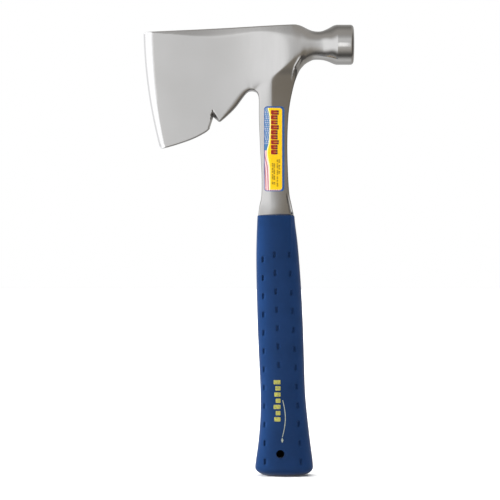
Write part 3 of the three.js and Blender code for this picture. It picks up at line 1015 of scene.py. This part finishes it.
SCALE_TOP = 0.186  # the tang is left unpolished below this height, in metres
SCALE_SHADE = (0.012, 0.011, 0.01)
STEEL_SHADES = ((0.585, 0.58, 0.57), (0.625, 0.62, 0.615))
BEVEL_SHADE = (0.9, 0.9, 0.9)
VINYL_SHADES = ((0.0028, 0.0195, 0.071), (0.0044, 0.0245, 0.088))
VARNISH_SHADE = (0.7, 0.7, 0.68)
GOLD_SHADES = ((0.36, 0.33, 0.04), (0.17, 0.18, 0.06))
PALE_SHADES = ((0.3, 0.33, 0.25), (0.17, 0.2, 0.19))


class Nodes:
    """The node tree of a material or the world, with short calls for the nodes used here."""

    def __init__(self, owner):
        owner.use_nodes = True
        self.owner = owner
        self.tree = owner.node_tree
        self.places = self.add("ShaderNodeTexCoord").outputs

    def fill(self, socket, value):
        """Links a socket to another socket, or sets its value."""
        if isinstance(value, bpy.types.NodeSocket):
            self.tree.links.new(value, socket)
        else:
            socket.default_value = (*value, 1) if socket.type == "RGBA" else value

    def add(self, kind, *values, **settings):
        """A node with its settings, and its first inputs filled."""
        node = self.tree.nodes.new(kind)
        for key, value in settings.items():
            setattr(node, key, value)
        for socket, value in zip(node.inputs, values):
            self.fill(socket, value)
        return node

    def shade(self, name, value):
        """Fills one input of the surface's shader."""
        self.fill(self.tree.nodes["Principled BSDF"].inputs[name], value)

    def noise(self, scale, detail=3.0, stretch=(1, 1, 1)):
        mapping = self.add("ShaderNodeMapping", self.places["Object"])
        mapping.inputs["Scale"].default_value = stretch
        node = self.add("ShaderNodeTexNoise", mapping.outputs["Vector"])
        node.inputs["Scale"].default_value = scale
        node.inputs["Detail"].default_value = detail
        return node.outputs["Fac"]

    def spread(self, value, low, high, start=0.3, end=0.7, blend="LINEAR"):
        """A value's range from start to end, spread from low to high."""
        node = self.add("ShaderNodeMapRange", value, start, end, low, high, interpolation_type=blend)
        return node.outputs["Result"]

    def mix(self, share, first, second):
        """A colour between two colours or sockets."""
        node = self.add("ShaderNodeMix", data_type="RGBA")
        for key, value in (("Factor", share), (6, first), (7, second)):
            self.fill(node.inputs[key], value)
        return node.outputs[2]

    def math(self, operation, *values):
        return self.add("ShaderNodeMath", *values, operation=operation).outputs[0]

    def attribute(self, name, output):
        return self.add("ShaderNodeAttribute", attribute_name=name).outputs[output]

    def bump(self, height, distance, strength=1.0, before=None):
        node = self.add("ShaderNodeBump")
        node.inputs["Strength"].default_value = strength
        node.inputs["Distance"].default_value = distance
        self.fill(node.inputs["Height"], height)
        if before is not None:
            self.fill(node.inputs["Normal"], before)
        return node.outputs["Normal"]


def material_nodes(name):
    return Nodes(bpy.data.materials.new(name))


def steel_material():
    """Ground and polished steel: fine grinding lines, faint clouding, and dark forging scale in the grip."""
    n = material_nodes("polished_steel")
    n.shade("Metallic", 1)
    cloud = n.noise(26, 2)
    grind = n.noise(700, 3, (1.0, 1.0, 0.08))
    cross = n.noise(900, 3, (0.08, 1.0, 1.0))
    bevel = n.attribute("ground_bevel", "Fac")
    colour = n.mix(n.spread(cloud, 0, 1), *STEEL_SHADES)
    ground = n.mix(bevel, colour, BEVEL_SHADE)
    height = n.add("ShaderNodeSeparateXYZ", n.places["Object"]).outputs["Z"]
    bare = n.spread(height, 0, 1, SCALE_TOP - 0.002, SCALE_TOP)
    n.shade("Base Color", n.mix(bare, SCALE_SHADE, ground))
    polish = n.math("ADD", n.spread(grind, 0.15, 0.22), n.spread(cloud, -0.02, 0.03))
    rough = n.math("ADD", polish, n.spread(bare, 0.5, 0, 0, 1))
    n.shade("Roughness", rough)
    lines = n.mix(bevel, grind, cross)
    n.shade("Normal", n.bump(lines, 0.000006, 0.35))
    return n.owner


def vinyl_material():
    """Blue moulded vinyl with fine leathery grain, slight mottling and a faint sheen."""
    n = material_nodes("grip_vinyl")
    mottle = n.noise(45, 3)
    grain = n.noise(1500, 2)
    pores = n.noise(520, 4)
    colour = n.mix(n.spread(mottle, 0, 1), *VINYL_SHADES)
    n.shade("Base Color", colour)
    n.shade("Specular IOR Level", 0.12)
    n.shade("Sheen Weight", 0.08)
    n.shade("Sheen Roughness", 0.4)
    n.shade("Roughness", n.spread(pores, 0.46, 0.6))
    fine = n.bump(grain, 0.00003, 0.35)
    n.shade("Normal", n.bump(pores, 0.00006, 0.4, fine))
    return n.owner


def foil_material():
    """Printed foil label: its inks are on the mesh, with a slight print mottle and satin varnish."""
    n = material_nodes("label_foil")
    ink = n.attribute("ink", "Color")
    mottle = n.noise(700, 2)
    shade = n.mix(n.spread(mottle, 0, 0.02), ink, VARNISH_SHADE)
    n.shade("Specular IOR Level", 0.2)
    n.shade("Base Color", shade)
    n.shade("Roughness", n.spread(n.noise(160, 3), 0.3, 0.42))
    n.shade("Normal", n.bump(n.noise(240, 2), 0.00004, 0.25))
    return n.owner


def print_material(name, light, dark):
    """Hot-pressed marking foil, thin in places."""
    n = material_nodes(name)
    wear = n.noise(900, 4)
    n.shade("Base Color", n.mix(n.spread(wear, 0, 1), light, dark))
    n.shade("Roughness", n.spread(wear, 0.35, 0.5))
    return n.owner


# --- Stage -------------------------------------------------------------------------------------

# The studio's surroundings, which the steel reflects, going round the tool's long side in degrees from
# straight in front: up is positive, 180 is behind. Each stop is (degrees, brightness, warmth).
SURROUNDINGS = [
    (-180, 0.5, 0),
    (-150, 0.5, 0.1),
    (-128, 0.5, 0.2),
    (-106, 0.72, 0.1),
    (-92, 0.5, 0.2),
    (-81, 0.2, 0.4),
    (-70, 0.08, 0.5),
    (-60, 0.12, 0.7),
    (-48, 0.27, 0.8),
    (-36, 0.47, 0.8),
    (-21, 0.58, 0.5),
    (-12, 0.68, 0.2),
    (-4, 0.7, 0),
    (4, 0.7, 0),
    (12, 0.74, 0),
    (20, 0.8, 0),
    (29, 0.78, 0),
    (39, 0.54, 0.1),
    (45, 0.48, 0.2),
    (51, 0.43, 0.4),
    (58, 0.42, 0.7),
    (80, 0.42, 0.7),
    (97, 0.32, 0.7),
    (115, 0.22, 0.7),
    (150, 0.45, 0.3),
    (180, 0.5, 0),
]

# The same for what is reflected from the right, and the turn in degrees over which it takes over.
RIGHT_SIDE = [
    (-180, 0.5, 0.5),
    (-150, 0.4, 0.8),
    (-100, 0.36, 0.8),
    (-88, 0.3, 1),
    (-76, 0.1, 1),
    (-66, 0.1, 1),
    (-57, 0.2, 1.5),
    (-48, 0.26, 1.8),
    (0, 0.26, 2),
    (30, 0.33, 1.5),
    (50, 0.42, 1),
    (110, 0.42, 0.7),
    (150, 0.45, 0.3),
    (180, 0.5, 0),
]
RIGHT_FROM = (1, 29)

# Soft panels in front of them, by degrees to the right of the shown face and degrees up:
# (turn, rise, half width, half height, softness across and up, colour)
PANELS = [
    (-59, 0, 50, 45, 14, 40, (1.14, 1.14, 1.15)),
    (-92, 0, 22, 100, 12, 12, (0.78, 0.78, 0.79)),
    (90, 0, 50, 95, 12, 12, (0.09, 0.085, 0.08)),
]
WARM = (1.0, 0.94, 0.86)

# Small card close in front of the poll: its centre, its width and height in metres, and how bright it is
CARD_PLACE = (0.0433, -0.06, 0.3182)
CARD_SIZE = (0.0125, 0.02)
CARD_LIGHT = 0.8

# Suns: (name, the way to them, degrees across, power)
SUNS = [
    ("overhead", (-0.1, 0.1, 1), 100, 3.2),
    ("left_key", (-1, -0.03, 0.2), 30, 7.0),
    ("right_fill", (1, -0.15, 0.1), 40, 1.4),
]

FLOOR_SIZE = 14
FLOOR_SHADE = (0.92, 0.92, 0.92)
CAMERA_PLACE = (-25.8 * MM, -1.5, 168.9 * MM)
CAMERA_LENS = 144


def make_floor():
    """A plain pale floor that the steel doesn't reflect."""
    bpy.ops.mesh.primitive_plane_add(size=FLOOR_SIZE, location=(0, 0, 0))
    floor = bpy.context.object
    floor.name = "studio_floor"
    floor.visible_glossy = False
    n = material_nodes("studio_floor")
    n.shade("Base Color", FLOOR_SHADE)
    n.shade("Roughness", 0.9)
    n.shade("Specular IOR Level", 0)
    floor.data.materials.append(n.owner)


def make_world():
    """White where the camera looks past the tool, and a studio of soft panels in reflections."""
    world = bpy.data.worlds.new("studio")
    bpy.context.scene.world = world
    n = Nodes(world)
    x, y, z = n.add("ShaderNodeSeparateXYZ", n.places["Generated"]).outputs
    turn = n.math("DEGREES", n.math("ARCSINE", x))
    rise = n.math("DEGREES", n.math("ARCTAN2", z, n.math("MULTIPLY", y, -1.0)))

    def shared(value, full, none):
        """1 where the value is below full, 0 where it is above none."""
        return n.spread(value, 0.0, 1.0, none, full, "SMOOTHSTEP")

    def rounds(stops_wanted):
        """The colour of a ring of stops at this rise."""
        ring = n.add("ShaderNodeValToRGB", n.math("MULTIPLY_ADD", rise, 1 / 360, 0.5))
        stops = ring.color_ramp.elements
        while len(stops) < len(stops_wanted):
            stops.new(0.5)
        for stop, (degrees, brightness, warmth) in zip(stops, stops_wanted):
            stop.position = degrees / 360 + 0.5
            stop.color = (*(brightness * (1 + warmth * (tint - 1)) for tint in WARM), 1)
        return ring.outputs["Color"]

    right = shared(n.math("MULTIPLY", turn, -1.0), -RIGHT_FROM[1], -RIGHT_FROM[0])
    colour = n.mix(right, rounds(SURROUNDINGS), rounds(RIGHT_SIDE))
    for across, up, half_width, half_height, soft_across, soft_up, tint in PANELS:
        aside = n.math("ABSOLUTE", n.math("SUBTRACT", turn, float(across)))
        above = n.math("ABSOLUTE", n.math("SUBTRACT", rise, float(up)))
        share = n.math(
            "MULTIPLY",
            shared(aside, half_width - soft_across / 2, half_width + soft_across / 2),
            shared(above, half_height - soft_up / 2, half_height + soft_up / 2),
        )
        colour = n.mix(share, colour, tint)
    backdrop = n.mix(n.add("ShaderNodeLightPath").outputs["Is Camera Ray"], colour, (1, 1, 1))
    n.fill(n.tree.nodes["Background"].inputs["Color"], backdrop)


def make_camera():
    """A long lens straight at the tool's side."""
    data = bpy.data.cameras.new("camera")
    data.lens = CAMERA_LENS
    data.sensor_width = 36
    camera = bpy.data.objects.new("camera", data)
    camera.location = CAMERA_PLACE
    camera.rotation_euler = (math.pi / 2, 0, 0)
    bpy.context.scene.collection.objects.link(camera)
    bpy.context.scene.camera = camera


def sun(name, come_from, spread, power):
    """A wide, even light that reflections don't show."""
    data = bpy.data.lights.new(name, "SUN")
    data.angle = math.radians(spread)
    data.energy = power
    light = bpy.data.objects.new(name, data)
    light.rotation_mode = "QUATERNION"
    light.rotation_quaternion = (-Vector(come_from)).to_track_quat("-Z", "Y")
    light.visible_glossy = False
    bpy.context.scene.collection.objects.link(light)


def make_card():
    """A small card that only the poll reflects."""
    data = bpy.data.lights.new("poll_card", "AREA")
    data.shape = "RECTANGLE"
    data.size, data.size_y = CARD_SIZE
    data.energy = CARD_LIGHT * math.pi * CARD_SIZE[0] * CARD_SIZE[1]
    card = bpy.data.objects.new("poll_card", data)
    card.location = CARD_PLACE
    card.rotation_euler = (math.pi / 2, 0, 0)
    card.visible_camera = False
    bpy.context.scene.collection.objects.link(card)


make_camera()
make_world()
make_floor()
for settings in SUNS:
    sun(*settings)
make_card()
bpy.context.scene.view_settings.view_transform = "Standard"

make_forging(steel_material())
make_grip(vinyl_material())
make_label(foil_material())
bars, trim = mark_outlines()
gold = print_material("mark_gold", *GOLD_SHADES)
pale = print_material("mark_pale", *PALE_SHADES)
make_mark("mark_bars", bars, gold)
make_mark("mark_line", trim, pale)
